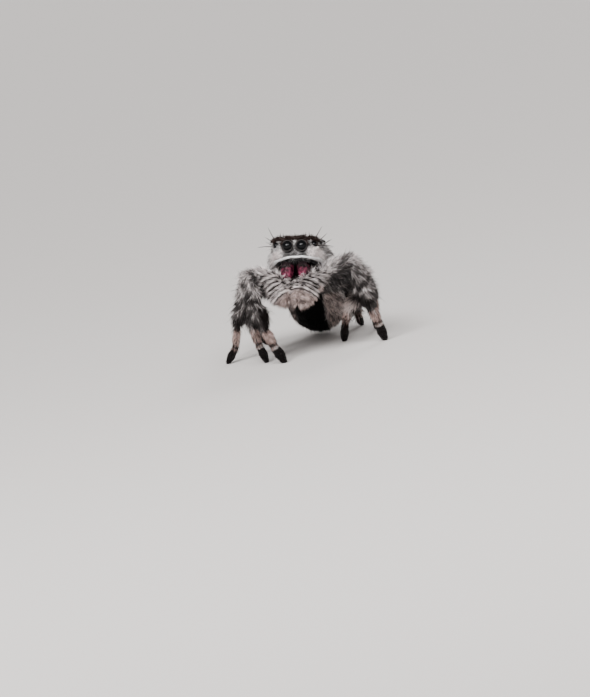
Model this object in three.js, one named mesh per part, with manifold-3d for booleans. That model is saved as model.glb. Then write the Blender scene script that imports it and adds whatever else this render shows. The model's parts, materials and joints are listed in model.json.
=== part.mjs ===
// A regal jumping spider, a half-grown female, life size, standing with its head raised.
// Millimetres, +Z up. It faces -Y, so its own left is +X, and its feet stand on z = 0.
// Each solid reaches out to the tips of the coat, so the bare body lies a little inside it.
import * as THREE from "three";
import { mergeVertices } from "three/addons/utils/BufferGeometryUtils.js";
import Module from "manifold-3d";

const wasm = await Module();
wasm.setup();

// ---- Driving dimensions -------------------------------------------------------------------

const GAP = 0.04; // between two solids that meet
const BODY_HEIGHT = 4.58; // of the carapace's lower edge at mid length, above the floor
const CARAPACE_HALF_LENGTH = 2.57;
const HEAD_UP = THREE.MathUtils.degToRad(17);
const LEAN_LEFT = THREE.MathUtils.degToRad(7);
const ABDOMEN_LENGTH = 6.3;
const ABDOMEN_DROOP = THREE.MathUtils.degToRad(33);
const ABDOMEN_TURN = THREE.MathUtils.degToRad(3);
const FOOT_AXIS_HEIGHT = 0.1; // of the end of a leg's axis, so that the floor cuts its tip flat
const LIMB_SIDES = 9;
const LIMB_RINGS = 4;

// Where each pair of legs leaves the body (out from the middle and along it, in the body's
// frame), and the length and the thickest radius of each of its five parts, coat included.
const LEGS = {
  1: { hip: [1.3, -1.45], lengths: [2.9, 1.45, 1.7, 1.2, 1.25], radii: [0.7, 0.6, 0.6, 0.36, 0.34] },
  2: { hip: [1.6, -0.5], lengths: [2.4, 1.3, 1.5, 1.2, 1.15], radii: [0.6, 0.5, 0.5, 0.31, 0.29] },
  3: { hip: [1.6, 0.5], lengths: [2.2, 1.2, 1.45, 1.35, 1.05], radii: [0.56, 0.45, 0.43, 0.28, 0.27] },
  4: { hip: [1.3, 1.5], lengths: [2.6, 1.3, 1.8, 1.65, 1.1], radii: [0.6, 0.47, 0.46, 0.29, 0.27] },
};
const LEG_PARTS = ["femur", "patella", "tibia", "metatarsus", "tarsus"];
const HIP_DROP = 0.42; // of the hips below the carapace's edge
const COXA_ROOT = 0.45; // where a coxa starts, as a share of the way out to its hip
const HIP_RADIUS = 0.4;
const JOINT_SHARE = 0.78; // a joint's radius, of the thinner part's radius
const TOE_SHARE = 0.5; // the radius at a foot's tip, of the tarsus's radius
const FEMUR_SAG = 0.12;

// Where each foot stands, the point that its knee leans towards, and the bends in degrees at
// the three joints below the knee. The lengths settle how far the knee gets.
const STANCE = [
  { pair: 1, side: "right", foot: [-1.46, -3.77], knee: [-2.76, -3.78, 5.5], bends: [10, 14, 6] },
  { pair: 2, side: "right", foot: [-2.78, -2.5], knee: [-3.2, -2.3, 5.0], bends: [12, 12, 4] },
  { pair: 3, side: "right", foot: [-5.6, -0.3], knee: [-3.6, -0.7, 4.9], bends: [8, 4, -24] },
  { pair: 4, side: "right", foot: [-3.9, 5.6], knee: [-4.0, 1.8, 4.8], bends: [22, 18, 2] },
  { pair: 1, side: "left", foot: [4.63, -1.1], knee: [3.3, -2.75, 5.3], bends: [0, 4, -2] },
  { pair: 2, side: "left", foot: [1.75, 1.3], knee: [3.9, -0.5, 4.0], bends: [26, -22, -8] },
  { pair: 3, side: "left", foot: [3.5, 4.4], knee: [3.4, 2.0, 3.6], bends: [22, 14, 2] },
  { pair: 4, side: "left", foot: [2.2, 7.4], knee: [2.5, 3.4, 4.4], bends: [2, -6, -6] },
];
const SIDES = { right: -1, left: 1 };

// The eight eyes in the body's frame: out from the middle, along it, up, and the radius.
const EYES = [
  { name: "eye_front_middle", place: [0.45, -2.6, 1.66], radius: 0.36, wide: 10, high: 8 },
  { name: "eye_front_side", place: [1.2, -2.38, 1.74], radius: 0.21, wide: 8, high: 6 },
  { name: "eye_rear_small", place: [1.5, -1.55, 2.0], radius: 0.11, wide: 6, high: 4 },
  { name: "eye_rear_side", place: [1.52, -0.72, 2.12], radius: 0.22, wide: 8, high: 6 },
];

// ---- Colours ------------------------------------------------------------------------------

const finish = (color, roughness, metalness = 0) =>
  new THREE.MeshStandardMaterial({ color, roughness, metalness });
const GREY_COAT = finish("#77746f", 0.85);
const DARK_COAT = finish("#2c2a2b", 0.8);
const PALE_COAT = finish("#b9b1aa", 0.85);
const BLACK_COAT = finish("#0c0a0b", 0.6);
const EYE_BLACK = finish("#050507", 0.08);
const JAW_PINK = finish("#8c2447", 0.3, 0.4);
const LEG_COLOURS = [DARK_COAT, GREY_COAT, DARK_COAT, PALE_COAT, BLACK_COAT];

// ---- Solids and curves --------------------------------------------------------------------

// A closed three.js geometry as a solid that can be cut and joined.
function solidOf(geometry) {
  const bare = new THREE.BufferGeometry();
  bare.setAttribute("position", geometry.getAttribute("position"));
  bare.setIndex(geometry.index);
  const merged = mergeVertices(bare, 1e-4);
  return new wasm.Manifold(
    new wasm.Mesh({
      numProp: 3,
      vertProperties: new Float32Array(merged.attributes.position.array),
      triVerts: new Uint32Array(merged.index.array),
    }),
  );
}

function geometryOf(solid) {
  const mesh = solid.getMesh();
  const geometry = new THREE.BufferGeometry();
  geometry.setAttribute("position", new THREE.BufferAttribute(mesh.vertProperties, 3));
  geometry.setIndex(new THREE.BufferAttribute(mesh.triVerts, 1));
  geometry.computeVertexNormals();
  return geometry;
}

// The solid made larger by a gap on every side, to cut room for it in a neighbour.
function grown(solid) {
  const { min, max } = solid.boundingBox();
  const middle = min.map((low, k) => (low + max[k]) / 2);
  const scale = min.map((low, k) => 1 + (2 * GAP) / (max[k] - low));
  return solid
    .translate(middle.map((m) => -m))
    .scale(scale)
    .translate(middle);
}

// True when two solids' boxes come within a gap of each other.
function near(one, other) {
  const [a, b] = [one.boundingBox(), other.boundingBox()];
  return a.min.every((low, k) => low < b.max[k] + GAP && b.min[k] < a.max[k] + GAP);
}

// A smooth curve through [place, value] pairs, as a function of the place.
function through(pairs) {
  const last = pairs.length - 1;
  const slope = (i) => {
    const [a, b] = [pairs[Math.max(i - 1, 0)], pairs[Math.min(i + 1, last)]];
    return (b[1] - a[1]) / (b[0] - a[0]);
  };
  return (place) => {
    const passed = pairs.filter((pair) => pair[0] <= place).length - 1;
    const i = THREE.MathUtils.clamp(passed, 0, last - 1);
    const [[x0, y0], [x1, y1]] = [pairs[i], pairs[i + 1]];
    const step = x1 - x0;
    const t = THREE.MathUtils.clamp((place - x0) / step, 0, 1);
    return (
      y0 * (1 + 2 * t) * (1 - t) ** 2 +
      y1 * t * t * (3 - 2 * t) +
      step * (slope(i) * t * (1 - t) ** 2 - slope(i + 1) * t * t * (1 - t))
    );
  };
}

// Places from 0 to 1, closer together near the ends.
const spread = (count) =>
  Array.from({ length: count + 1 }, (_, i) => (1 - Math.cos((Math.PI * i) / count)) / 2);

// A lathe of [radius, along] points round Y, with each point then moved by place(x, along, z).
function shapedLathe(profile, sides, place) {
  const outline = profile.map(([radius, along]) => new THREE.Vector2(radius, along));
  const geometry = new THREE.LatheGeometry(outline, sides);
  const spots = geometry.getAttribute("position");
  for (let i = 0; i < spots.count; i++) {
    const moved = place(spots.getX(i), spots.getY(i), spots.getZ(i));
    spots.setXYZ(i, moved.x, moved.y, moved.z);
  }
  const solid = solidOf(geometry);
  if (solid.volume() > 0) return solid;
  const corners = geometry.index.array;
  for (let i = 0; i < corners.length; i += 3)
    [corners[i + 1], corners[i + 2]] = [corners[i + 2], corners[i + 1]];
  return solidOf(geometry);
}

const ball = (centre, radius, wide, high) =>
  solidOf(
    new THREE.SphereGeometry(radius, wide, high).rotateX(Math.PI / 2).translate(...centre),
  );

// ---- Limbs --------------------------------------------------------------------------------

// One part of a limb, from a to b. before and after are the next points along the limb, or
// nothing at an end that meets no other part. Where two parts meet, both end in the plane
// that halves the bend, so they lie face to face.
function limbPart({ a, b, before, after, normal, radii, bulge, ...shape }) {
  const { wide = 1, deep = 1, sag = 0, sides = LIMB_SIDES, rings = LIMB_RINGS } = shape;
  const way = b.clone().sub(a);
  const length = way.length();
  way.normalize();
  const across = normal.clone().addScaledVector(way, -normal.dot(way)).normalize();
  const up = new THREE.Vector3().crossVectors(way, across);
  const halving = (from, to) => to.clone().sub(from).normalize().add(way).normalize();
  const startPlane = before ? halving(before, a) : way;
  const endPlane = after ? halving(b, after) : way;
  const place = (x, t, z) => {
    const swell = Math.sin(Math.PI * THREE.MathUtils.clamp(t, 0, 1));
    const out = across.clone().multiplyScalar(x * (1 + (wide - 1) * swell));
    out.addScaledVector(up, z * (1 + (deep - 1) * swell));
    const slide = (plane, share) =>
      share > 0 ? (-out.dot(plane) / way.dot(plane)) * share * share * (3 - 2 * share) : 0;
    const along = t * length + slide(startPlane, 1 - 2 * t) + slide(endPlane, 2 * t - 1);
    return a.clone().addScaledVector(way, along).addScaledVector(up, -sag * swell).add(out);
  };
  const start = before ? GAP / 2 / length : 0;
  const end = after ? 1 - GAP / 2 / length : 1;
  const radius = (t) => radii[0] + (radii[1] - radii[0]) * t + bulge * Math.sin(Math.PI * t) ** 0.8;
  const middle = spread(rings).map((t) => [radius(t), start + (end - start) * t]);
  const tip = [
    [radii[1] * 0.62, 1 + (0.5 * radii[1]) / length],
    [0, 1 + (0.7 * radii[1]) / length],
  ];
  const profile = [[0, start], ...middle, ...(after ? [[0, end]] : tip)];
  return shapedLathe(profile, sides, place);
}

// The joints of a leg from its hip to its foot, all in one plane. The femur and the line from
// the knee to the foot are two sides of a triangle whose third side is hip to foot.
function legJoints(hip, foot, kneeSide, [femur, ...rest], bends) {
  let heading = 0;
  const chain = [new THREE.Vector2(0, 0)];
  rest.forEach((length, i) => {
    heading -= i ? THREE.MathUtils.degToRad(bends[i - 1]) : 0;
    const step = new THREE.Vector2(Math.cos(heading), Math.sin(heading)).multiplyScalar(length);
    chain.push(chain[i].clone().add(step));
  });
  const chord = chain.at(-1).length();
  const tilt = chain.at(-1).angle();
  const line = foot.clone().sub(hip);
  const span = line.length();
  line.normalize();
  const out = kneeSide.clone().sub(hip);
  out.addScaledVector(line, -out.dot(line)).normalize();
  const share = (femur ** 2 - chord ** 2 + span ** 2) / (2 * span);
  if (femur < Math.abs(share)) throw new Error("a leg can't reach its foot");
  const knee = hip.clone().addScaledVector(line, share);
  knee.addScaledVector(out, Math.sqrt(femur ** 2 - share ** 2));
  const down = foot.clone().sub(knee).normalize();
  const outward = out.clone().addScaledVector(down, -out.dot(down)).normalize();
  const below = chain.map((point) => {
    const turned = point.rotateAround(new THREE.Vector2(0, 0), -tilt);
    return knee.clone().addScaledVector(down, turned.x).addScaledVector(outward, turned.y);
  });
  return { joints: [hip, ...below], normal: new THREE.Vector3().crossVectors(line, out) };
}

// ---- The fore body, in its own frame ------------------------------------------------------

const foreBody = new THREE.Group();
foreBody.position.set(0, 0, BODY_HEIGHT);
foreBody.rotation.set(-HEAD_UP, LEAN_LEFT, 0);
foreBody.updateMatrixWorld(true);
const inModel = (x, y, z) => foreBody.localToWorld(new THREE.Vector3(x, y, z));
const placed = (solid) => solid.transform(foreBody.matrixWorld.elements);

// The carapace from the face to the back: half width, crown, lower edge and squareness.
const carapaceWidth = through([
  [-2.65, 1.3],
  [-2.3, 1.5],
  [-1.2, 1.74],
  [0.3, 2.1],
  [1.4, 1.98],
  [2.2, 1.45],
  [2.65, 0.8],
]);
const carapaceCrown = through([
  [-2.65, 2.12],
  [-2.1, 2.28],
  [-0.8, 2.44],
  [0.4, 2.16],
  [1.5, 1.45],
  [2.3, 0.95],
  [2.65, 0.75],
]);
const carapaceEdge = through([
  [-2.65, 0.82],
  [-2.3, 0.6],
  [-1.8, 0.2],
  [-1.0, 0.0],
  [1.6, 0.0],
  [2.65, 0.2],
]);
const squareness = through([
  [-2.65, 3.4],
  [-1.0, 3.0],
  [0.6, 2.3],
  [2.65, 2.0],
]);

function carapaceSolid() {
  const face = [
    [0, -2.74],
    [0.55, -2.72],
    [0.88, -2.65],
  ];
  const rear = [
    [0.6, 2.7],
    [0, 2.74],
  ];
  const rings = spread(8).map((t) => [1, CARAPACE_HALF_LENGTH * (2 * t - 1)]);
  return shapedLathe([...face, ...rings, ...rear], 20, (x, y, z) => {
    const radius = Math.hypot(x, z);
    const angle = Math.atan2(z, x);
    const squared = (value) => Math.sign(value) * Math.abs(value) ** (2 / squareness(y));
    const low = carapaceEdge(y);
    const tall = carapaceCrown(y) - low;
    const rise = tall * (z > 0 ? 0.58 : 0.42);
    return new THREE.Vector3(
      radius * carapaceWidth(y) * squared(Math.cos(angle)),
      y,
      low + 0.42 * tall + radius * rise * squared(Math.sin(angle)),
    );
  });
}

// A jaw: a stout column under the face, with its fang folded in at the lower end.
function jawSolid(sign) {
  const top = new THREE.Vector3(0.46 * sign, -2.3, 0.6);
  const foot = new THREE.Vector3(0.68 * sign, -2.72, -1.2);
  const column = limbPart({
    a: top,
    b: foot,
    normal: new THREE.Vector3(1, 0, 0),
    radii: [0.39, 0.3],
    bulge: 0.1,
    deep: 1.25,
  });
  const fang = limbPart({
    a: foot.clone().add(new THREE.Vector3(0, 0.12, -0.02)),
    b: new THREE.Vector3(0.3 * sign, -2.42, -1.42),
    normal: new THREE.Vector3(0, 1, 0),
    radii: [0.16, 0.07],
    bulge: 0.02,
    sides: 6,
    rings: 2,
  });
  return column.add(fang);
}

// The palps hang in front of the jaws, and their thick coat makes them broad.
const PALP_POINTS = [
  [0.8, -1.75, -0.5],
  [0.95, -2.1, -0.6],
  [1.5, -2.95, -0.45],
  [0.98, -3.5, -0.9],
  [0.48, -3.6, -2.05],
];
const PALP_PARTS = [
  { name: "femur", radii: [0.3, 0.42], bulge: 0.1 },
  { name: "tibia", radii: [0.42, 0.52], bulge: 0.1, wide: 1.2 },
  { name: "tarsus", radii: [0.52, 0.3], bulge: 0.12, wide: 1.3, deep: 0.8 },
];

function palpSolids(sign) {
  const points = PALP_POINTS.map(([x, y, z]) => new THREE.Vector3(x * sign, y, z));
  return PALP_PARTS.map((part, i) =>
    limbPart({
      ...part,
      a: points[i + 1],
      b: points[i + 2],
      before: points[i],
      after: points[i + 3],
      normal: new THREE.Vector3(1, 0, 0),
      sides: 8,
    }),
  );
}

// The breast plate, with the two mouth lobes in front of it.
function sternumSolid() {
  const profile = [
    [0, -1.9],
    [0.75, -1.8],
    [1, -1.0],
    [1.1, 0.2],
    [0.85, 1.5],
    [0.5, 2.1],
    [0, 2.2],
  ];
  const plate = shapedLathe(
    profile,
    12,
    (x, y, z) => new THREE.Vector3(x * 0.95, y, z * 0.4 - 0.48),
  );
  const lobe = (sign) =>
    limbPart({
      a: new THREE.Vector3(0.55 * sign, -1.4, -0.55),
      b: new THREE.Vector3(0.5 * sign, -1.9, -1.15),
      normal: new THREE.Vector3(1, 0, 0),
      radii: [0.34, 0.26],
      bulge: 0.04,
      sides: 6,
      rings: 2,
    });
  return plate.add(lobe(-1)).add(lobe(1));
}

// ---- Legs, in the model's frame -----------------------------------------------------------

const floor = solidOf(new THREE.BoxGeometry(40, 40, 10).translate(0, 0, -5));

// A leg's coxa, which is joined to the sternum, and its five free parts.
function legSolids({ pair, side, foot, knee, bends }) {
  const { hip, lengths, radii } = LEGS[pair];
  const out = hip[0] * SIDES[side];
  const root = inModel(out * COXA_ROOT, hip[1] * COXA_ROOT, -HIP_DROP);
  const start = inModel(out, hip[1], -HIP_DROP);
  const stand = new THREE.Vector3(foot[0], foot[1], FOOT_AXIS_HEIGHT);
  const { joints, normal } = legJoints(start, stand, new THREE.Vector3(...knee), lengths, bends);
  const points = [root, ...joints];
  const jointRadius = (i) => {
    if (i === 0) return HIP_RADIUS;
    return i === radii.length ? TOE_SHARE * radii[i - 1] : JOINT_SHARE * Math.min(radii[i - 1], radii[i]);
  };
  const parts = LEG_PARTS.map((name, i) => {
    const ends = [jointRadius(i), jointRadius(i + 1)];
    const solid = limbPart({
      a: points[i + 1],
      b: points[i + 2],
      before: points[i],
      after: points[i + 3],
      normal,
      radii: ends,
      bulge: radii[i] - (ends[0] + ends[1]) / 2,
      deep: name === "femur" ? 1.15 : 1,
      sag: name === "femur" ? FEMUR_SAG : 0,
      sides: radii[i] < 0.4 ? LIMB_SIDES - 1 : LIMB_SIDES,
    });
    return name === "tarsus" ? solid.subtract(floor) : solid;
  });
  const coxa = limbPart({
    a: root,
    b: start,
    after: joints[1],
    normal,
    radii: [0.42, HIP_RADIUS],
    bulge: 0.05,
    sides: 6,
    rings: 2,
  });
  return { name: `leg${pair}_${side}`, coxa, parts };
}

// ---- The abdomen, in its own frame: its waist at the origin, its length along +Y ----------

const abdomen = new THREE.Group();
abdomen.position.copy(inModel(0, 2.45, 0.36));
abdomen.rotation.set(-ABDOMEN_DROOP, LEAN_LEFT * 0.4, ABDOMEN_TURN, "ZXY");
abdomen.updateMatrixWorld(true);

const abdomenRadius = through([
  [0, 0.5],
  [0.08, 1.25],
  [0.25, 1.75],
  [0.5, 2.0],
  [0.72, 1.82],
  [0.9, 1.15],
  [0.97, 0.7],
  [1, 0.45],
]);

function abdomenSolid() {
  const rings = spread(10).map((t) => [1, t]);
  return shapedLathe([[0, -0.005], ...rings, [0, 1.005]], 18, (x, t, z) => {
    const radius = abdomenRadius(t);
    const depth = z * radius * (z < 0 ? 0.96 : 0.92);
    return new THREE.Vector3(x * radius, t * ABDOMEN_LENGTH, depth + 0.3 * (1 - t));
  });
}

// Two longer spinnerets above two thicker ones, joined at the root.
function spinneretSolid() {
  const pairs = [
    { from: [0.17, -0.1, -0.08], to: [0.25, 0.5, 0.02], radii: [0.22, 0.15] },
    { from: [0.14, -0.1, 0.16], to: [0.2, 0.66, 0.4], radii: [0.2, 0.12] },
  ];
  const cone = ({ from, to, radii }, sign) =>
    limbPart({
      a: new THREE.Vector3(from[0] * sign, ABDOMEN_LENGTH + from[1], from[2]),
      b: new THREE.Vector3(to[0] * sign, ABDOMEN_LENGTH + to[1], to[2]),
      normal: new THREE.Vector3(1, 0, 0),
      radii,
      bulge: 0.02,
      sides: 6,
      rings: 1,
    });
  return pairs
    .flatMap((pair) => [cone(pair, -1), cone(pair, 1)])
    .reduce((joined, next) => joined.add(next));
}

// ---- Building -----------------------------------------------------------------------------

const spider = new THREE.Group();
const built = [];

// Adds a piece. It gives way to what is already built, apart from the parts of its own limb.
function add(name, solid, material, limb = name) {
  const cleared = built
    .filter((other) => other.limb !== limb && near(solid, other.solid))
    .reduce((left, other) => left.subtract(grown(other.solid)), solid)
    .decompose()
    .reduce((a, b) => (a.volume() > b.volume() ? a : b));
  built.push({ limb, solid: cleared });
  const mesh = new THREE.Mesh(geometryOf(cleared), material);
  mesh.name = name;
  spider.add(mesh);
}

for (const [side, sign] of Object.entries(SIDES)) {
  for (const { name, place, radius, wide, high } of EYES) {
    const centre = [place[0] * sign, place[1], place[2]];
    add(`${name}_${side}`, placed(ball(centre, radius, wide, high)), EYE_BLACK);
  }
  add(`chelicera_${side}`, placed(jawSolid(sign)), JAW_PINK);
}
add("carapace", placed(carapaceSolid()), GREY_COAT);

for (const [side, sign] of Object.entries(SIDES))
  palpSolids(sign).forEach((solid, i) =>
    add(`palp_${side}_${PALP_PARTS[i].name}`, placed(solid), PALE_COAT, `palp_${side}`),
  );

const legs = STANCE.map(legSolids);
const breast = legs.reduce((joined, leg) => joined.add(leg.coxa), placed(sternumSolid()));
add("sternum_and_coxae", breast, DARK_COAT);
for (const leg of legs)
  leg.parts.forEach((solid, i) =>
    add(`${leg.name}_${LEG_PARTS[i]}`, solid, LEG_COLOURS[i], leg.name),
  );

const hung = (solid) => solid.transform(abdomen.matrixWorld.elements);
add("spinnerets", hung(spinneretSolid()), GREY_COAT);
add("abdomen", hung(abdomenSolid()), GREY_COAT);

// The origin is on the floor, under the middle of the whole model.
const box = new THREE.Box3().setFromObject(spider, true);
const middle = box.getCenter(new THREE.Vector3());
spider.position.set(-middle.x, -middle.y, -box.min.z);

const model = new THREE.Group();
model.add(spider);
export default model;
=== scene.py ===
# %% [markdown]
# # A regal jumping spider
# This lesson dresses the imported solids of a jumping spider, a grey female about 12 mm long, as a
# museum would show her at life size. Her body is one skin under a coat of many thousand small
# hairs. The eyes, jaws, claws and spines are pieces of their own. All sums are in millimetres,
# and a piece is brought to metres when its mesh is made, because Blender and the frame use them.

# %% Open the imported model
import json
import math
from collections import namedtuple

import bmesh
import bpy
import numpy as np
from mathutils import Matrix, Vector
from mathutils.bvhtree import BVHTree

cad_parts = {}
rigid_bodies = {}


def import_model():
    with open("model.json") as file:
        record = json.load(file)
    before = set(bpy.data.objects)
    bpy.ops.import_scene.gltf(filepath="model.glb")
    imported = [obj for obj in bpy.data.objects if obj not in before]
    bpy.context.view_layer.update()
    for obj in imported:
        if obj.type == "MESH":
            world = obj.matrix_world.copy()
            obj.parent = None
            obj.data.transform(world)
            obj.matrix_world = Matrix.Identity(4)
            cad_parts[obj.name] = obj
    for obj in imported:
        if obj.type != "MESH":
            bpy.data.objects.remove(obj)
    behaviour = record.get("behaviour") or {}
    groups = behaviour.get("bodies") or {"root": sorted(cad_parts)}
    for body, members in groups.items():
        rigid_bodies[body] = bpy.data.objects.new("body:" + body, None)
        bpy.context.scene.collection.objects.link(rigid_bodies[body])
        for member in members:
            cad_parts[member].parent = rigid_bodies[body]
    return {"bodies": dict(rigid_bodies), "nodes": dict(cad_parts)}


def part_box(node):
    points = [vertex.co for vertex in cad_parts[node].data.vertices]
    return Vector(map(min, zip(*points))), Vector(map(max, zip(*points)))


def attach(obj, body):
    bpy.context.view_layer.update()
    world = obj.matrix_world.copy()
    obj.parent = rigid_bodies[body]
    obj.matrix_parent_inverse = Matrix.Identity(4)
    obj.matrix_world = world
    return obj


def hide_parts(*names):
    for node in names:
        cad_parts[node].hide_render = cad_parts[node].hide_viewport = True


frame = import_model()
NODES = frame["nodes"]
BODY = next(iter(frame["bodies"]))
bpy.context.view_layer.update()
MM = 0.001
SIDES = {"right": -1, "left": 1}

# %% [markdown]
# ## Where everything is
# All places come from the solids. The head has its own directions, left, back and up, which its
# eyes give, and so does the abdomen. Most sums below are easier in these directions, because the
# head is raised and leans a little while the abdomen hangs.


# %% Measure the solids
def column(items, name, width, kind=np.float32):
    """One property of all items, as an array."""
    found = np.empty(len(items) * width, kind)
    items.foreach_get(name, found)
    return found.reshape(-1, width)


def points_of(name):
    return column(NODES[name].data.vertices, "co", 3).astype(float) / MM


def centre_of(name):
    low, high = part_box(name)
    return np.array(low + high) / 2 / MM


def unit(vectors):
    return vectors / np.maximum(np.linalg.norm(vectors, axis=-1, keepdims=True), 1e-9)


def steady(value, low, high):
    """A smooth step from 0 at low to 1 at high, either of which may be the greater."""
    share = np.clip((value - low) / (high - low), 0, 1)
    return share * share * (3 - 2 * share)


# %% Give a part of the body its own directions
class Frame:
    """An origin and the directions left, back and up of a part of the body."""

    def __init__(self, origin, back, left):
        self.origin = origin
        self.back = unit(back)
        self.up = unit(np.cross(left, self.back))
        self.left = np.cross(self.back, self.up)
        self.axes = np.array([self.left, self.back, self.up])

    def inside(self, points):
        """Points of the model, measured in this frame."""
        return (points - self.origin) @ self.axes.T

    def turned(self, directions):
        """Directions of the model, measured in this frame."""
        return directions @ self.axes.T

    def outside(self, directions):
        """Directions of this frame, turned to the model."""
        return np.asarray(directions, float) @ self.axes

    def ways(self, *numbers):
        """Directions of the model, from numbers for the left, back and up of this frame."""
        return self.outside(np.stack(np.broadcast_arrays(*numbers), 1))

    def spots(self, *numbers):
        """Points of the model, from the same three numbers."""
        return self.ways(*numbers) + self.origin


# %% Find the head from its eyes
EYE_ROW_SLOPE = math.radians(12.9)  # of the line through the side eyes, over the carapace's length
EYE_NAMES = ["front_middle", "front_side", "rear_small", "rear_side"]
eyes = {}
for side in SIDES:
    for place in EYE_NAMES:
        name = f"eye_{place}_{side}"
        low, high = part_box(name)
        eyes[name] = (centre_of(name), max(high - low) / 2 / MM)


def eye_middle(place):
    return (eyes[f"eye_{place}_left"][0] + eyes[f"eye_{place}_right"][0]) / 2


across = eyes["eye_front_middle_left"][0] - eyes["eye_front_middle_right"][0]
eye_row = eye_middle("rear_side") - eye_middle("front_side")
level = Matrix.Rotation(-EYE_ROW_SLOPE, 3, Vector(unit(across)))
head = Frame(eye_middle("front_middle"), np.array(level @ Vector(eye_row)), across)
print("head", head.origin.round(2), "back", head.back.round(2), "up", head.up.round(2))

# %% [markdown]
# ## Camera
# A long lens keeps so small an animal free of distortion: it stands 20 cm off, a little to the
# spider's left and above her, and is rolled, because she stood on a slope that the model has
# laid flat. An orthographic camera would be simpler, but would lose the slight growth of near feet.

# %% Set up the camera
VIEW_TURN, VIEW_RISE, VIEW_ROLL = math.radians(9), math.radians(8), math.radians(10.5)
VIEW_DISTANCE = 200
VIEW_HEIGHT = 44.0  # of what the picture holds at that distance
AIM_FROM_EYES = Vector((-1.44, 1.829, -6.64))  # the picture's middle lies below the face
SENSOR = 36.0
NEAREST, FURTHEST = 10, 100_000  # that the camera sees

turn = Matrix.Rotation(VIEW_TURN, 3, "Z") @ Matrix.Rotation(math.pi / 2 - VIEW_RISE, 3, "X")
turn = turn @ Matrix.Rotation(-VIEW_ROLL, 3, "Z")
camera_data = bpy.data.cameras.new("camera")
camera_data.sensor_width = SENSOR
camera_data.lens = SENSOR * VIEW_DISTANCE / VIEW_HEIGHT
camera_data.clip_start, camera_data.clip_end = NEAREST * MM, FURTHEST * MM
camera = bpy.data.objects.new("camera", camera_data)
stand = Vector(head.origin) + AIM_FROM_EYES + turn.col[2] * VIEW_DISTANCE
camera.matrix_world = Matrix.Translation(stand * MM) @ turn.to_4x4()
bpy.context.scene.collection.objects.link(camera)
bpy.context.scene.camera = camera
print("lens", round(camera_data.lens, 1), "mm, camera", round(stand.z, 1), "mm above the floor")

# %% [markdown]
# ## Finishes as sums
# Finishes are procedural, so they are sums of shader nodes. A small class lets Python's own
# operators write those sums, and one method adds any other node. The other way is to place every
# node by hand, which takes ten lines for each sum and hides what it says.


# %% Wrap a socket
class Value:
    """A shader socket that Python's operators can work on."""

    def __init__(self, finish, socket):
        self.finish = finish
        self.socket = socket

    def maths(self, operation, *terms):
        return self.finish.node("ShaderNodeMath", {"operation": operation}, dict(enumerate(terms)))

    def __add__(self, other):
        return self.maths("ADD", self, other)

    def __sub__(self, other):
        return self.maths("SUBTRACT", self, other)

    def __rsub__(self, other):
        return self.maths("SUBTRACT", other, self)

    def __mul__(self, other):
        return self.maths("MULTIPLY", self, other)

    __radd__ = __add__
    __rmul__ = __mul__


# %% Wrap a tree of nodes and a material
class Nodes:
    """A tree of shader nodes, to which every call adds one."""

    def __init__(self, tree):
        self.tree = tree

    def feed(self, socket, value):
        if isinstance(value, Value):
            self.tree.links.new(value.socket, socket)
        else:
            socket.default_value = value

    def node(self, kind, settings, inputs, output=0):
        """Adds a node and returns one of its outputs."""
        made = self.tree.nodes.new(kind)
        for name, value in settings.items():
            setattr(made, name, value)
        for name, value in inputs.items():
            self.feed(made.inputs[name], value)
        return Value(self, made.outputs[output])


class Finish(Nodes):
    """A material with one Principled shader. Its constants go straight on the shader's sockets."""

    def __init__(self, name, constants):
        self.material = bpy.data.materials.new(name)
        self.material.use_nodes = True
        super().__init__(self.material.node_tree)
        self.shader = self.tree.nodes["Principled BSDF"]
        for socket, value in constants.items():
            self.feed(self.shader.inputs[socket], value)
        print("finish", name)

    def shape(self, name):
        """An attribute that the mesh carries."""
        return self.node("ShaderNodeAttribute", {"attribute_name": name}, {}, "Fac")

    def noise(self, size, detail=2.0):
        """Cloudy noise from 0 to 1, with lumps about size millimetres across."""
        place = self.node("ShaderNodeTexCoord", {}, {}, "Object")
        inputs = {"Vector": place, "Scale": 1 / (size * MM), "Detail": detail}
        return self.node("ShaderNodeTexNoise", {}, inputs, "Fac")

    def ramp(self, value, low, high):
        """0 where value is at low and 1 where it is at high."""
        inputs = {"Value": value, "From Min": low, "From Max": high}
        return self.node("ShaderNodeMapRange", {}, inputs)

    def blend(self, share, first, second):
        """A colour between two others, which are colours or sockets."""
        return self.node("ShaderNodeMix", {"data_type": "RGBA"}, {0: share, 6: first, 7: second}, 2)

    def bump(self, height, strength, depth):
        inputs = {"Height": height, "Strength": strength, "Distance": depth * MM}
        self.feed(self.shader.inputs["Normal"], self.node("ShaderNodeBump", {}, inputs, "Normal"))


# %% [markdown]
# ## Floor and light
# The floor is plain and pale. A broad sun, as soft as an overcast window, lights it evenly to the
# horizon, where a lamp alone would leave it dark. Two soft boxes above the face give her eyes
# their paired highlights, and a weaker sun from behind draws a rim of light on the hair.


# %% Lay the floor
def link(name, data):
    made = bpy.data.objects.new(name, data)
    bpy.context.scene.collection.objects.link(made)
    return made


FLOOR_HALF = 8000
floor_shape = bmesh.new()
bmesh.ops.create_grid(floor_shape, x_segments=1, y_segments=1, size=FLOOR_HALF * MM)
floor_mesh = bpy.data.meshes.new("floor")
floor_shape.to_mesh(floor_mesh)
floor_shape.free()
floor = link("floor", floor_mesh)
CARD = {"Base Color": (0.60, 0.57, 0.55, 1), "Roughness": 0.9, "Specular IOR Level": 0.2}
floor_mesh.materials.append(Finish("pale_card", CARD).material)

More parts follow.
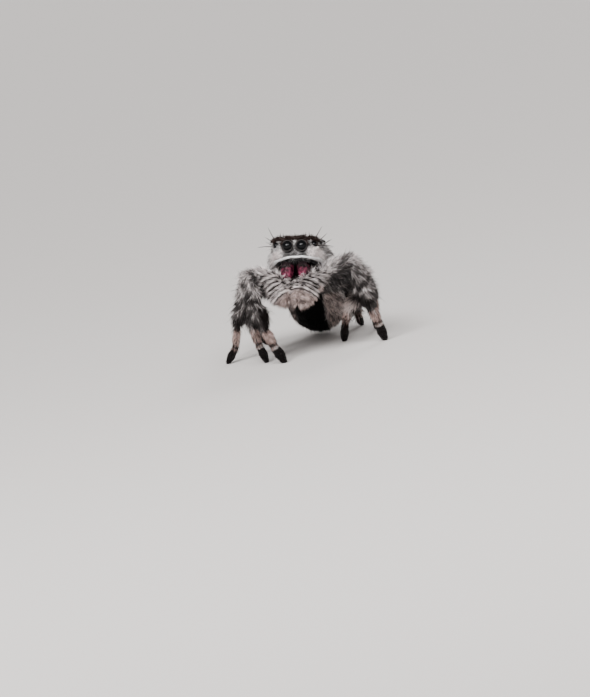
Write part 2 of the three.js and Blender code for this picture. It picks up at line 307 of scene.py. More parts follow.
# %% Hang the lamps
LAMPS = [  # name, kind, place in mm, power, and width in mm or the sun's width in degrees
    ("sky_window", "SUN", (-8, -100, 88), 4.2, 35),
    ("back_window", "SUN", (40, 100, 70), 1.2, 25),
    ("box_right", "AREA", (-38, -95, 80), 0.09, 34),
    ("box_left", "AREA", (52, -88, 80), 0.06, 34),
]
LIT_PLACE = Vector((0, -2, 4))
for name, kind, place, power, width in LAMPS:
    lamp_data = bpy.data.lights.new(name, kind)
    lamp_data.energy = power
    if kind == "SUN":
        lamp_data.angle = math.radians(width)
    else:
        lamp_data.size = width * MM
    lamp = link(name, lamp_data)
    lamp.location = Vector(place) * MM
    lamp.rotation_euler = (LIT_PLACE - Vector(place)).to_track_quat("-Z", "Y").to_euler()

print(len(LAMPS), "lamps")

# %% Light the backdrop
HAZE, CEILING = 1.05, 0.42  # its brightness at the horizon and overhead
world = bpy.data.worlds.new("studio")
world.use_nodes = True
sky = Nodes(world.node_tree)
backdrop = sky.tree.nodes["Background"].inputs
sky.feed(backdrop["Color"], (0.92, 0.90, 0.90, 1))
way = sky.node("ShaderNodeTexCoord", {}, {}, "Generated")
fade = {"From Min": 0.05, "From Max": 0.4, "To Min": HAZE, "To Max": CEILING}
fade["Value"] = sky.node("ShaderNodeSeparateXYZ", {}, {"Vector": way}, "Z")
sky.feed(backdrop["Strength"], sky.node("ShaderNodeMapRange", {}, fade))
bpy.context.scene.world = world
print("backdrop from", HAZE, "down to", CEILING)

# %% [markdown]
# ## Limbs and body parts
# A leg's part has the line from its near joint to its far joint, found as the direction in which
# its points are spread most. The markings and the lie of the coat are measured along these lines.


# %% Follow each limb from joint to joint
def spread_direction(name, towards):
    """The direction in which a solid is longest, pointing the same way as towards."""
    points = points_of(name)
    found = np.linalg.svd(points - points.mean(0), full_matrices=False)[2][0]
    return found * np.sign(found @ towards)


belly_axis = spread_direction("abdomen", centre_of("spinnerets") - centre_of("abdomen"))
belly = Frame(centre_of("abdomen"), belly_axis, head.left)
LEG_PARTS = ["femur", "patella", "tibia", "metatarsus", "tarsus"]
PALP_PARTS = ["femur", "tibia", "tarsus"]
LIMBS = {f"leg{pair}_{side}": LEG_PARTS for pair in (1, 2, 3, 4) for side in SIDES}
LIMBS.update({f"palp_{side}": PALP_PARTS for side in SIDES})
parts = {}
for limb, names in LIMBS.items():
    names = [f"{limb}_{part}" for part in names]
    centres = [centre_of(name) for name in names]
    for i, name in enumerate(names):
        way = centres[min(i + 1, len(names) - 1)] - centres[max(i - 1, 0)]
        axis = spread_direction(name, way)
        if "patella" in name:  # too short for its longest direction to be sure
            axis = unit(way)
        along = (points_of(name) - centres[i]) @ axis
        parts[name] = (centres[i] + axis * along.min(), axis, np.ptp(along))
TRUNK = {"carapace": head, "sternum_and_coxae": head, "abdomen": belly, "spinnerets": belly}
for name, region in TRUNK.items():
    parts[name] = (centre_of(name), region.back, np.ptp(points_of(name) @ region.back))
print(len(parts), "parts of the body; abdomen back", belly.back.round(2))

# %% [markdown]
# ## Coat
# A coat is described once for each kind of part: how deep it is, how long and wide its hairs are,
# how steeply they rise, and how many grow on a square millimetre. Hairs are shortest on the face
# and feet, and longest on the palps, which hang before the jaws like a beard.

# %% Describe the coat of each kind of part
Coat = namedtuple("Coat", "depth length width lift density")  # in mm, degrees, and hairs on a mm2
COATS = {
    "carapace": Coat(0.07, 0.32, 0.028, 15, 450),
    "sternum_and_coxae": Coat(0.09, 0.40, 0.030, 20, 260),
    "abdomen": Coat(0.12, 0.42, 0.032, 16, 300),
    "spinnerets": Coat(0.05, 0.20, 0.024, 16, 500),
    "femur": Coat(0.15, 0.50, 0.030, 24, 340),
    "patella": Coat(0.15, 0.48, 0.030, 26, 380),
    "tibia": Coat(0.15, 0.50, 0.030, 25, 380),
    "metatarsus": Coat(0.08, 0.28, 0.024, 20, 560),
    "tarsus": Coat(0.02, 0.14, 0.024, 6, 1040),
    "palp_femur": Coat(0.10, 0.46, 0.028, 24, 420),
    "palp_tibia": Coat(0.14, 0.55, 0.028, 24, 480),
    "palp_tarsus": Coat(0.14, 0.50, 0.026, 22, 520),
}
FACE_COAT = Coat(0.07, 0.17, 0.020, 13, 1260)


def kind_of(name):
    """The kind of a part, such as tibia for leg1_left_tibia."""
    words = name.split("_")
    if name.startswith("leg"):
        return words[-1]
    if name.startswith("palp"):
        return "palp_" + words[-1]
    return name if name in COATS else "carapace"


PART_NAMES = sorted(parts)
KINDS = [kind_of(name) for name in PART_NAMES]
print(len(COATS), "kinds of coat")

# %% [markdown]
# ## Skin
# The solids are faceted and have thin gaps at the joints. A voxel remesh of copies of them, all
# swollen a little first, gives one closed surface, and smoothing rounds it. The solids reach to
# the hair's tips, so the surface is then drawn in by the depth of the coat, part by part.

# %% Melt the flesh into one skin
SKIN_VOXEL = 0.075
SWELL = 0.035
SMOOTH_ROUNDS = 6


def melted(names, voxel, swell, rounds):
    """One closed smooth surface round copies of some solids, in millimetres."""
    solid = bmesh.new()
    for name in names:
        solid.from_mesh(NODES[name].data)
    bmesh.ops.scale(solid, vec=(1 / MM,) * 3, verts=solid.verts)
    bmesh.ops.remove_doubles(solid, verts=solid.verts, dist=0.001)
    solid.normal_update()
    for vertex in solid.verts:
        vertex.co += vertex.normal * swell
    mesh = bpy.data.meshes.new("melting")
    solid.to_mesh(mesh)
    solid.free()
    piece = link("melting", mesh)
    remesh = piece.modifiers.new("voxels", "REMESH")
    remesh.mode, remesh.voxel_size = "VOXEL", voxel
    smooth = piece.modifiers.new("smooth", "SMOOTH")
    smooth.factor, smooth.iterations = 0.5, rounds
    made = bpy.data.meshes.new_from_object(piece.evaluated_get(bpy.context.evaluated_depsgraph_get()))
    bpy.data.objects.remove(piece)
    return made


def points_and_normals(mesh):
    return [column(items, name, 3).astype(float)
            for items, name in ((mesh.vertices, "co"), (mesh.vertex_normals, "vector"))]


def triangles_of(mesh):
    mesh.calc_loop_triangles()
    return column(mesh.loop_triangles, "vertices", 3, np.int32)


flesh = [name for name in NODES if not name.startswith(("chelicera_", "eye_"))]
skin_mesh = melted(flesh, SKIN_VOXEL, SWELL, SMOOTH_ROUNDS)
outer, outer_normals = points_and_normals(skin_mesh)
edges = column(skin_mesh.edges, "vertices", 2, np.int32)
print("skin:", len(outer), "points")


# %% Say which part each point of the skin belongs to
class Ground:
    """Surfaces on which single hairs can be planted."""

    def __init__(self, *surfaces):
        """Each surface is points, their normals, triangles, and the part that each belongs to."""
        starts = np.cumsum([0] + [len(surface[0]) for surface in surfaces])
        points, normals, faces, part = zip(*surfaces)
        joined = np.vstack([these + start for these, start in zip(faces, starts)])
        self.tree = BVHTree.FromPolygons(np.vstack(points).tolist(), joined.tolist())
        self.normals = unit(np.vstack(normals)[joined].mean(1))
        self.part = np.concatenate(part)

    def planted(self, points, ways, found=None):
        """Roots at the nearest places to some points, with hair lying the given ways."""
        found = found or [self.tree.find_nearest(point) for point in points]
        places = np.array([place for place, _, _, _ in found])
        nearest = [index for _, _, index, _ in found]
        normals = self.normals[nearest]
        return Roots(places, normals, on_surface(ways, normals), self.part[nearest])

    def in_head(self, places, ways):
        """Roots from places and ways that are given by numbers for the head's left, back and up."""
        return self.planted(head.spots(*places), head.ways(*ways))

    def struck(self, points):
        """Roots where lines that run straight back from some points meet the surfaces."""
        found = [hit for hit in (self.tree.ray_cast(point, head.back) for point in points) if hit[0]]
        return self.planted(points, np.tile(head.left, (len(found), 1)), found)


def flesh_surface(name):
    mesh = NODES[name].data
    faces = column(mesh.polygons, "vertices", 3, np.int32)
    _, normals = points_and_normals(mesh)
    return points_of(name), normals, faces, np.full(len(faces), PART_NAMES.index(name))


flesh_ground = Ground(*map(flesh_surface, flesh))
part_of = flesh_ground.part[[flesh_ground.tree.find_nearest(point)[2] for point in outer]]
print("labelled", len(np.unique(part_of)), "parts")


def settled(values, rounds):
    """Values on the skin's points, evened out with their neighbours'."""
    starts, ends = np.vstack([edges, edges[:, ::-1]]).T
    count = np.maximum(np.bincount(starts, minlength=len(outer)), 1)[:, None]
    for _ in range(rounds):
        sums = [np.bincount(starts, one[ends], len(outer)) for one in values.T]
        values = 0.5 * values + 0.5 * np.stack(sums, 1) / count
    return values


# %% [markdown]
# ## Lie of the coat
# Hair lies towards the end of a limb and towards the back of the body. On the face it runs down
# from the eyes and fans out to the cheeks, round each eye it points away from the lens, and on
# the palps it is parted in the middle and falls to both sides, like a moustache.

# %% Follow the beard's arcs
PARTING = 0.33  # of the palps' hair, to the left of the face's middle
ARC_TOP = -2.0  # height of the first arc, which bows as ARC_BOW says
ARC_BOW, ARC_GAIN = 0.13, 0.29  # the bow grows by ARC_GAIN for each millimetre further down


def arc_at(points):
    """Which arc of the beard each point lies on, named by its height at the parting."""
    x, _, z = head.inside(points).T
    square = (x - PARTING) ** 2
    return (z + (ARC_BOW + ARC_GAIN * ARC_TOP) * square) / (1 + ARC_GAIN * square)


def arc_bow(points):
    return np.maximum(ARC_BOW + ARC_GAIN * (ARC_TOP - arc_at(points)), 0.0)


def height_on_arc(arc, x):
    """The height of an arc at x."""
    square = (x - PARTING) ** 2
    return arc * (1 + ARC_GAIN * square) - (ARC_BOW + ARC_GAIN * ARC_TOP) * square


def beard_way(points, side):
    """The way of the palps' hair along its arc: to the left where side is 1, to the right where -1."""
    x = head.inside(points)[:, 0] - PARTING
    return unit(head.ways(side, 0, -2 * arc_bow(points) * x * side))


# %% Say how the coat lies
def away_from_eyes(points, directions, reach):
    """Turns directions away from each eye within reach of its rim."""
    for centre, radius in eyes.values():
        off = points - centre
        distance = np.linalg.norm(off, axis=1, keepdims=True)
        share = steady(distance, radius + reach, radius + 0.3 * reach)
        directions = unit(directions) * (1 - share) + unit(off) * share
    return directions


def lie_at(points, normals, part):
    """The direction in which the coat lies, before it is pressed onto the skin."""
    lie = np.array([parts[name][1] for name in PART_NAMES])[part]
    kind = np.array(KINDS)[part]
    local = head.inside(points)
    facing = head.turned(normals)
    front = steady(-facing[:, 1], 0.15, 0.6) * steady(-local[:, 2], -0.5, -0.2) * (kind == "carapace")
    fan = head.ways(0.55 * np.sign(local[:, 0]) * steady(np.abs(local[:, 0]), 0.2, 1.2), 0, -1)
    lie = lie * (1 - front[:, None]) + unit(fan) * front[:, None]
    sides = steady(np.abs(facing[:, 0]), 0.3, 0.9) * (kind == "carapace")
    lie = lie - head.up * 0.4 * sides[:, None]
    fallen = beard_way(points, np.tanh((local[:, 0] - PARTING) / 0.2))
    on_palp = np.isin(kind, ("palp_tibia", "palp_tarsus"))
    return np.where(on_palp[:, None], laid_back(fallen, normals), lie)


def on_surface(directions, normals):
    """Directions pressed flat onto the surface."""
    return unit(directions - normals * (directions * normals).sum(1)[:, None])


def laid_back(directions, normals):
    """Directions leant back onto the surface, which keeps their course as the face sees it."""
    ahead = -head.back
    lean = (directions * normals).sum(1) / np.maximum(normals @ ahead, 0.35)
    return on_surface(directions - lean[:, None] * ahead, normals)


# %% Draw the skin in and lay its coat
depths = np.array([COATS[kind].depth for kind in KINDS])[part_of][:, None]
depths = settled(depths, 8) + SWELL
skin_points = outer - outer_normals * depths
skin_mesh.vertices.foreach_set("co", skin_points.astype(np.float32).ravel())
skin_mesh.update()
_, skin_normals = points_and_normals(skin_mesh)
lies = settled(lie_at(skin_points, skin_normals, part_of), 10)
lies = on_surface(away_from_eyes(skin_points, lies, 0.18), skin_normals)
print("skin drawn in by", depths.min().round(3), "to", depths.max().round(3), "mm")

# %% [markdown]
# ## Markings
# She is grey from afar, and black, white and cream hair by hair. One function says how pale and
# how warm the coat is at any place, and both skin and hairs are coloured by it. Patches come from
# sums of sine waves, which need no picture and give the same result each time.


# %% Paint with patches, bands and spots
def share_along(name, points):
    """How far along a part points lie, from 0 at its near end to 1 at its far end."""
    start, axis, length = parts[name]
    return (points - start) @ axis / length


def mottle(points, size, seed):
    """Soft patches about size across, between about -1 and 1."""
    draws = np.random.default_rng(seed)
    waves = draws.normal(size=(3, 9)) * 2.2 / size
    return np.sin(points @ waves + draws.uniform(0, 2 * np.pi, 9)).sum(1) / 3.5


def band(value, low, high, soft):
    """1 from low to high, falling to 0 over soft at both ends."""
    return steady(value, low - soft, low + soft) * steady(value, high + soft, high - soft)


def spot(x, y, at, size):
    """1 in the middle of an oval spot, and 0 outside it."""
    return steady(np.hypot((x - at[0]) / size[0], (y - at[1]) / size[1]), 1.2, 0.7)


def painted(tone, *layers):
    """A tone with others laid over it in turn, each as far as its share says."""
    for colour, share in layers:
        tone = tone * (1 - share) + colour * share
    return tone


# %% Mark the head
BROW = 0.40  # height of the dark cap's edge above the front-middle eyes
FRINGE_TOP, FRINGE_ASIDE = -0.75, 0.2  # where the white fringe is highest
FRINGE_BOW, FRINGE_CURL = 0.12, 0.053  # how it falls to both sides, and faster at its ends


def fringe_at(x):
    """The fringe's height."""
    square = (x - FRINGE_ASIDE) ** 2
    return FRINGE_TOP - FRINGE_BOW * square - FRINGE_CURL * square * square


def head_marks(points):
    """The face is pale below the eyes and near black above them. A thin dark line just above the fringe is
    painted shade, and the black skin below the fringe is partly dark and partly painted shade.
    """
    x, y, z = head.inside(points).T
    across = np.abs(x)
    drop = fringe_at(x) - z  # below the fringe
    top = steady(z, BROW - 0.06, BROW + 0.06)
    cap = top * steady(y, 2.8, 2.2)
    cheek = steady(across, 0.5, 0.95) * steady(z - 0.08 * x, -0.02, -0.28) * steady(y, 1.15, 0.55)
    middle = steady(across, 0.9, 0.6) * band(z, -0.8, -0.1, 0.1) * steady(y, 0.6, 0.2)
    # painted shade: a thin dark line just above the white fringe, grey in the middle and black at its ends
    shade_line_above_fringe = band(drop, -0.16, -0.07, 0.03) * steady(y, 1.2, 0.6)
    pale = painted(
        0.38 + 0.2 * mottle(points, 0.45, 1),
        (0.05 + 0.08 * mottle(points, 0.35, 2), cap),
        (0.8, top * spot(across, y, (0.72, 1.5), (0.26, 0.42))),
        (0.75, top * spot(x, y, (0, 2.9), (0.8, 0.3))),
        (0.86, cheek),
        (0.22 + 0.12 * mottle(points, 0.25, 12), middle),
        (0.35 * steady(np.abs(x - FRINGE_ASIDE), 1.3, 1.0), 0.7 * shade_line_above_fringe),
        (0.33 + 0.25 * mottle(points, 0.6, 3), 0.9 * band(z, -1.2, 0.0, 0.25) * steady(y, 0.8, 1.4)),
        # black below the fringe: partly the dark hair's own colour, partly painted shade under the fringe
        (0.0, steady(drop, 0.05, 0.12) * steady(y, 1.6, 0.8)),
    )
    return pale, painted(0.15, (0.85, cap * steady(y, 1.4, 0.5)), (0.35, cheek))


# %% Mark the abdomen
BAND_ASIDE = 0.2  # of the black band beneath, because the abdomen hangs a little twisted
WHITE_SPOTS = [  # on the abdomen's back: place to the side and back, and half width and length
    ((0, -0.5), (0.55, 0.6)),
    ((0.64, 0.55), (0.34, 0.24)),
    ((0.58, 1.45), (0.28, 0.2)),
    ((0.45, 2.15), (0.2, 0.14)),
]


def abdomen_marks(points):
    """Grey above with white spots between two black bands, and a black band beneath. The lower flanks are
    dusky brown, darkened further as painted shade, most on her right.
    """
    x, y, z = belly.inside(points).T
    across = np.abs(x)
    above = steady(z, -0.2, 0.5)
    lower = steady(-z, 0.1, 0.7)
    beneath = steady(-z, 0.35, 0.75) * steady(np.abs(x + BAND_ASIDE), 1.0, 0.85)
    pale = painted(
        0.5 + 0.22 * mottle(points, 0.7, 4),
        (0.02, band(across, 0.35, 1.1, 0.08) * steady(y, -1.6, -1.0) * above),
        *((1.0, above * spot(across, y, place, size)) for place, size in WHITE_SPOTS),
        (1.0, above * band(y, -2.75, -2.25, 0.1)),
        (0.9, (1 - above) * band(across, 1.5, 1.85, 0.1) * band(y, -2.0, 1.8, 0.3)),
        # lower flanks: dusky brown hair, partly painted shade, and darker still on her right (x below 0) as
        # painted shade
        (0.26 + 0.28 * steady(x, -1.0, 0.0) + 0.2 * mottle(points, 0.3, 13), lower),
        (0.0, beneath),
    )
    return pale, painted(0.2, (0.6, lower), (0.0, beneath))


# %% Mark the legs
HIGH_RINGS = "leg2_left"  # the leg on which the pale shin and the black foot reach higher
DARK_SHIN = "leg4_left"  # the leg whose shin is dark and fluffy


def limb_marks(points, name):
    """Dark and pale rings, placed as shares of the part's length."""
    start, axis, _ = parts[name]
    t = share_along(name, points)
    aside = unit(points - start - np.outer((points - start) @ axis, axis))
    side = SIDES[name.split("_")[1]]
    below = steady(-aside[:, 2], -0.2, 0.6)
    inner = steady(-aside @ head.left * side, 0.1, 0.7)
    patches = mottle(points, 0.3, 5)
    high = name.startswith(HIGH_RINGS)
    kind = kind_of(name)
    if kind == "tarsus":
        return 0.75 * steady(t, 0.12, 0.04) * (1 - high), 0.3
    if kind == "metatarsus":
        pale = painted(
            0.6 - 0.16 * t + 0.14 * patches,
            (0.0, band(t, 0.78, 0.93, 0.05)),
            (0.85, high * steady(t, 0.45, 0.2)),
            (0.0, 0.6 * name.startswith(DARK_SHIN)),
            (0.0, high * (band(t, 0.45, 0.55, 0.06) + steady(t, 0.65, 0.75))),
        )
        return pale, 0.95
    if kind == "tibia" and high:
        return 0.15 + 0.95 * steady(t, 0.1, 0.7) + 0.1 * patches, 0.5
    if kind == "tibia":
        ring = band(t, 0.4, 0.75, 0.1) * (0.5 + 0.5 * below)
        layers = (0.0, ring), (0.0, inner * steady(t, 0.1, 0.2))
        return painted(0.22 - 0.04 * t + 0.2 * patches, *layers), 0.3
    if kind == "patella":
        pale = painted(
            0.38 + 0.28 * patches,
            (0.5, steady(t, 0.16, 0.08)),
            (0.0, 0.8 * band(t, 0.66, 0.84, 0.05)),
            (0.1, 0.7 * below * band(t, 0.3, 0.86, 0.1)),
        )
        return pale, 0.3
    if kind == "femur":
        pale = painted(
            0.52 + 0.28 * patches,
            (0.0, 0.5 * band(t, 0.66, 0.80, 0.05)),
            (0.04, 0.8 * below * steady(t, 0.2, 0.4)),
            (0.7, steady(t, 0.88, 0.94) * (1 - below)),
        )
        return pale, 0.3
    return beard_marks(points)


# %% Mark the palps
FIRST_STRIPE, STRIPE = -2.07, 0.18  # height of a white arc of the beard, and the step to the next
TUFT_TOP = -2.97  # where the arcs end and the warm lower tuft begins
TUFT_GAP = -0.3  # between the ends of the palps, which the tuft's hair closes from both sides


def beard_marks(points):
    """The palps' hair: white and black arcs above, and a warm grey tuft below."""
    x = head.inside(points)[:, 0]
    arc = arc_at(points)
    tuft = steady(arc, TUFT_TOP + 0.06, TUFT_TOP - 0.06)
    pale = painted(
        0.28 + 0.52 * np.cos(2 * np.pi * (arc - FIRST_STRIPE) / STRIPE) + 0.14 * mottle(points, 0.5, 9),
        (0.0, spot(x, arc, (0.15, -2.54), (0.42, 0.09))),
        (0.95, band(arc, -2.85, -2.76, 0.03)),
        (0.44 + 0.16 * mottle(points, 0.2, 10), tuft),
    )
    return pale, painted(0.35, (0.75, tuft))


# %% Gather the markings
MARKS = {
    "carapace": head_marks,
    "abdomen": abdomen_marks,
    "sternum_and_coxae": lambda points: (0.16 + 0.2 * mottle(points, 0.6, 6), 0.3),
    "spinnerets": lambda points: (0.15, 0.5),
}
print("own marks for", *MARKS)


def markings(points, part):
    """How pale and how warm the coat is at each point, both from 0 to 1."""
    pale, warm = np.zeros((2, len(points)))
    for i in np.unique(part):
        here = part == i
        name = PART_NAMES[i]
        found = MARKS[name](points[here]) if name in MARKS else limb_marks(points[here], name)
        pale[here], warm[here] = found
    return np.clip(pale, 0, 1), np.clip(warm, 0, 1)


# %% [markdown]
# ## Finishes of skin and hair
# Soot black, silver, umber and a rosy cream are the four tones that the coat's two markings mix.
# Hair is a little glossy. The skin below has the same tones, darker, with a fine grain.

# %% Mix the finishes
SOOT, SILVER = (0.0015, 0.0015, 0.0018, 1), (0.93, 0.92, 0.92, 1)
UMBER, BLUSH = (0.009, 0.003, 0.002, 1), (0.80, 0.57, 0.51, 1)


def coat_finish(name, roughness, gloss, shade):
    """Colours from the markings. Shade darkens them all over."""
    made = Finish(name, {"Specular IOR Level": gloss})
    pale, warm = made.shape("pale") * shade, made.shape("warm")
    cool_tone = made.blend(pale, SOOT, SILVER)
    warm_tone = made.blend(pale, UMBER, BLUSH)
    made.feed(made.shader.inputs["Base Color"], made.blend(warm, cool_tone, warm_tone))
    made.feed(made.shader.inputs["Roughness"], made.noise(0.6) * 0.2 + (roughness - 0.1))
    return made


skin_finish = coat_finish("skin", 0.6, 0.1, 0.4)
skin_finish.bump(skin_finish.noise(0.05, 4.0), 0.5, 0.02)
hair_finish = coat_finish("hair", 0.6, 0.12, 1.0)
bristle_finish = coat_finish("bristle", 0.35, 0.4, 1.0)
foot_finish = coat_finish("foot_hair", 0.3, 0.2, 1.0)

# %% [markdown]
# ## Hairs
# Each hair is a closed three-sided spike of ten or more triangles, bent along its length. All
# hairs of a piece are worked out at once as arrays, which takes a second where a modifier with
# instances would take minutes. Each carries its colour as attributes, and a map named OFBake
# on which it is a small patch at its root's place on an unrolled skin.

# %% Find places for roots
triangles = triangles_of(skin_mesh)
corners = skin_points[triangles]
areas = np.linalg.norm(np.cross(corners[:, 1] - corners[:, 0], corners[:, 2] - corners[:, 0]), axis=1) / 2
middles = corners.mean(1)
triangle_part = part_of[triangles[:, 0]]
triangle_name = np.array(PART_NAMES)[triangle_part]
triangle_kind = np.array(KINDS)[triangle_part]
triangle_normals = unit(skin_normals[triangles].mean(1))
UPPER_LEG = ("femur", "patella", "tibia")
rng = np.random.default_rng(11)
print("skin area", areas.sum().round(0), "mm2")


def of_leg(kinds, leg="leg"):
    """True for the skin's triangles on some kinds of part, of all legs or of one."""
    return np.isin(triangle_kind, kinds) & np.char.startswith(triangle_name, leg)


# %% Scatter roots
class Roots:
    """Places where hairs start, with the surface's normal and the coat's lie there."""

    def __init__(self, points, normals, lies, part):
        self.points, self.normals, self.lies, self.part = points, normals, lies, part
        self.count = len(points)

    def keep(self, mask):
        return Roots(self.points[mask], self.normals[mask], self.lies[mask], self.part[mask])

    def combed(self, yaw):
        """Turns the lie of each hair by the tangent yaw."""
        self.lies = unit(self.lies + np.cross(self.normals, self.lies) * yaw[:, None])

    def varied(self, middle, spread):
        """One value for each root, about a middle one."""
        return middle * rng.uniform(1 - spread, 1 + spread, self.count)


def scattered(weight, count):
    """Roots all over the skin, as thickly as the weight of each of its triangles says."""
    chosen = rng.choice(len(areas), int(count), p=weight * areas / (weight * areas).sum())
    shares = rng.dirichlet((1, 1, 1), int(count))[:, :, None]
    points, normals, ways = [(values[triangles[chosen]] * shares).sum(1)
                             for values in (skin_points, skin_normals, lies)]
    return Roots(points, unit(normals), on_surface(ways, unit(normals)), triangle_part[chosen])


skin_ground = Ground((skin_points, skin_normals, triangles, triangle_part))


def clear_of_eyes(points, margin):
    """True for points further than margin from every eye."""
    clear = np.ones(len(points), bool)
    for centre, radius in eyes.values():
        clear &= np.linalg.norm(points - centre, axis=1) > radius + margin
    return clear


# %% Unroll the skin for a map
def unrolled(points, part):
    """Each point's place on a map where every part is a tile, unrolled round its axis."""
    shown, tile = np.unique(part, return_inverse=True)
    across = math.ceil(len(shown) ** 0.5)
    place = np.empty((len(points), 2))
    for i, index in enumerate(shown):
        here = tile == i
        start, axis, _ = parts[PART_NAMES[index]]
        off = points[here] - start
        along = off @ axis
        side = unit(np.cross(axis, (0.1, 0.2, 0.97)))
        angle = np.arctan2(off @ side, off @ np.cross(side, axis)) / (2 * np.pi) + 0.5
        along = (along - along.min()) / max(np.ptp(along), 1e-6)
        place[here] = np.stack([i % across + 0.03 + 0.94 * angle, i // across + 0.03 + 0.94 * along], 1)
    return place / across


# %% Build hairs from their roots
def store(mesh, **tones):
    """Keeps tones on a mesh's points, for its finish to read."""
    for name, values in tones.items():
        mesh.attributes.new(name, "FLOAT", "POINT").data.foreach_set("value", values.astype(np.float32))


PATCH = 0.003  # of the map, across
SUNK = 0.02  # of a root below the skin
FLOOR_GAP = 0.016  # of the hairs above the floor


def finished(name, mesh, finish):
    """A piece with its finish on, riding on the body."""
    mesh.materials.append(finish.material)
    piece = link(name, mesh)
    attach(piece, BODY)
    return piece


def spike(rings, sides):
    """The triangles of one closed spike with its points in rings, from the root to the tip."""
    faces = []
    for level in range(rings):
        for s in range(sides):
            a, b = level * sides + s, level * sides + (s + 1) % sides
            faces += [(a, b, b + sides), (a, b + sides, a + sides)]
    last = rings * sides
    faces += [(last + s, last + (s + 1) % sides, last + sides) for s in range(sides)]
    return np.array(faces + [(0, s + 1, s) for s in range(1, sides - 1)])


def hairs(name, roots, finish, length, width, lift, bend, pale, warm, rings=1, sides=3, sweep=0.0):
    """One mesh of closed spikes. Lift is at the root, and bend and sweep are turns by the tip."""
    count, levels = roots.count, rings + 1
    length, width, lift, bend, pale, warm, sweep = (
        value + np.zeros(count) for value in (length, width, lift, bend, pale, warm, sweep))
    aside = np.cross(roots.normals, roots.lies)
    spots = [roots.points - roots.normals * SUNK]
    for level in range(levels):
        angle = (lift - bend * level / levels)[:, None]
        flat = unit(roots.lies + aside * np.tan(sweep * level / levels)[:, None])
        way = flat * np.cos(angle) + roots.normals * np.sin(angle)
        spots.append(spots[-1] + way * (length / levels)[:, None])
    spots = np.stack(spots, 1)
    spots[:, 1:, 2] = np.maximum(spots[:, 1:, 2], FLOOR_GAP)
    ahead = unit(spots[:, 1:] - spots[:, :-1])
    side = unit(np.cross(ahead, roots.normals[:, None] + 0.01))
    top = np.cross(side, ahead)
    turns = 2 * np.pi * np.arange(sides) / sides
    rim = np.cos(turns)[:, None] * top[:, :, None] + np.sin(turns)[:, None] * side[:, :, None]
    taper = (1 - (np.arange(levels) / levels) ** 2 * 0.75)[:, None, None]
    rim = spots[:, :-1, None] - rim * taper * (width / 2)[:, None, None, None]
    points = np.concatenate([rim.reshape(count, -1, 3), spots[:, -1:]], 1)
    faces = spike(rings, sides)
    each = points.shape[1]
    all_faces = (faces + np.arange(count)[:, None, None] * each).reshape(-1, 3)
    mesh = bpy.data.meshes.new(name)
    mesh.from_pydata((points.reshape(-1, 3) * MM).tolist(), (), all_faces.tolist(), shade_flat=False)
    store(mesh, pale=np.repeat(pale, each), warm=np.repeat(warm, each))
    shrink = np.append(np.repeat(1 - np.arange(levels) / levels, sides), 0)
    wheel = np.append(np.tile(turns, levels), 0)
    patch = np.stack([np.cos(wheel), np.sin(wheel)], 1) * shrink[:, None] * PATCH / 2
    places = unrolled(roots.points, roots.part)[:, None, None] + patch[faces][None]
    mesh.uv_layers.new(name="OFBake").uv.foreach_set("vector", places.astype(np.float32).ravel())
    print(f"{name}: {count} hairs, {len(all_faces)} triangles")
    return finished(name, mesh, finish)


# %% Tone single hairs
def hair_tones(roots, contrast):
    """Tones of single hairs: where the coat is grey, some are nearly white and some dark."""
    pale, warm = markings(roots.points, roots.part)
    draw = rng.uniform(0, 1, roots.count)
    lit = steady(pale - 0.1 - 0.9 * draw, -0.1, 0.1)
    pale = pale * (1 - contrast) + contrast * 0.97 * lit
    return np.clip(roots.varied(pale, 0.15), 0, 1), np.clip(warm + rng.normal(0, 0.08, roots.count), 0, 1)


# %% Describe how a short coat grows
def brush_at_toes(roots):
    """How much more steeply hairs stand at the end of a foot, where they make a brush."""
    more = np.zeros(roots.count)
    for i, name in enumerate(PART_NAMES):
        if KINDS[i] == "tarsus":
            here = roots.part == i
            t = share_along(name, roots.points[here])
            more[here] = 0.4 * steady(t, 0.2, 0.5) + 0.3 * steady(t, 0.8, 1.0)
    return more


def short_coat(name, mask, finish, one_coat=None, most=19_500):
    """The flat coat of some parts of the skin."""
    coats = [one_coat or COATS[kind] for kind in KINDS]
    _, length, width, lift, density = np.array(coats).T
    weight = density[triangle_part] * mask
    roots = scattered(weight, min(most, (weight * areas).sum()))
    roots = roots.keep(clear_of_eyes(roots.points, 0.0) & (roots.points[:, 2] > 0.02))
    clump = mottle(roots.points, 0.22, 7)
    roots.combed(0.30 * clump + rng.normal(0, 0.22, roots.count))
    lift = roots.varied(np.radians(lift)[roots.part], 0.5) + 0.1 * mottle(roots.points, 0.3, 8)
    lift += brush_at_toes(roots)
    pale, warm = hair_tones(roots, 0.6)
    hairs(name, roots, finish, roots.varied(length[roots.part], 0.35),
          roots.varied(width[roots.part], 0.25), lift + 0.12, lift, pale, warm)


# %% Dress the skin
pale, warm = markings(skin_points, part_of)
store(skin_mesh, pale=pale, warm=warm)
skin_mesh.transform(Matrix.Scale(MM, 4))
skin_mesh.shade_smooth()
skin = finished("skin", skin_mesh, skin_finish)
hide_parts(*flesh)
print("skin:", len(triangles), "triangles, in place of", len(flesh), "solids")

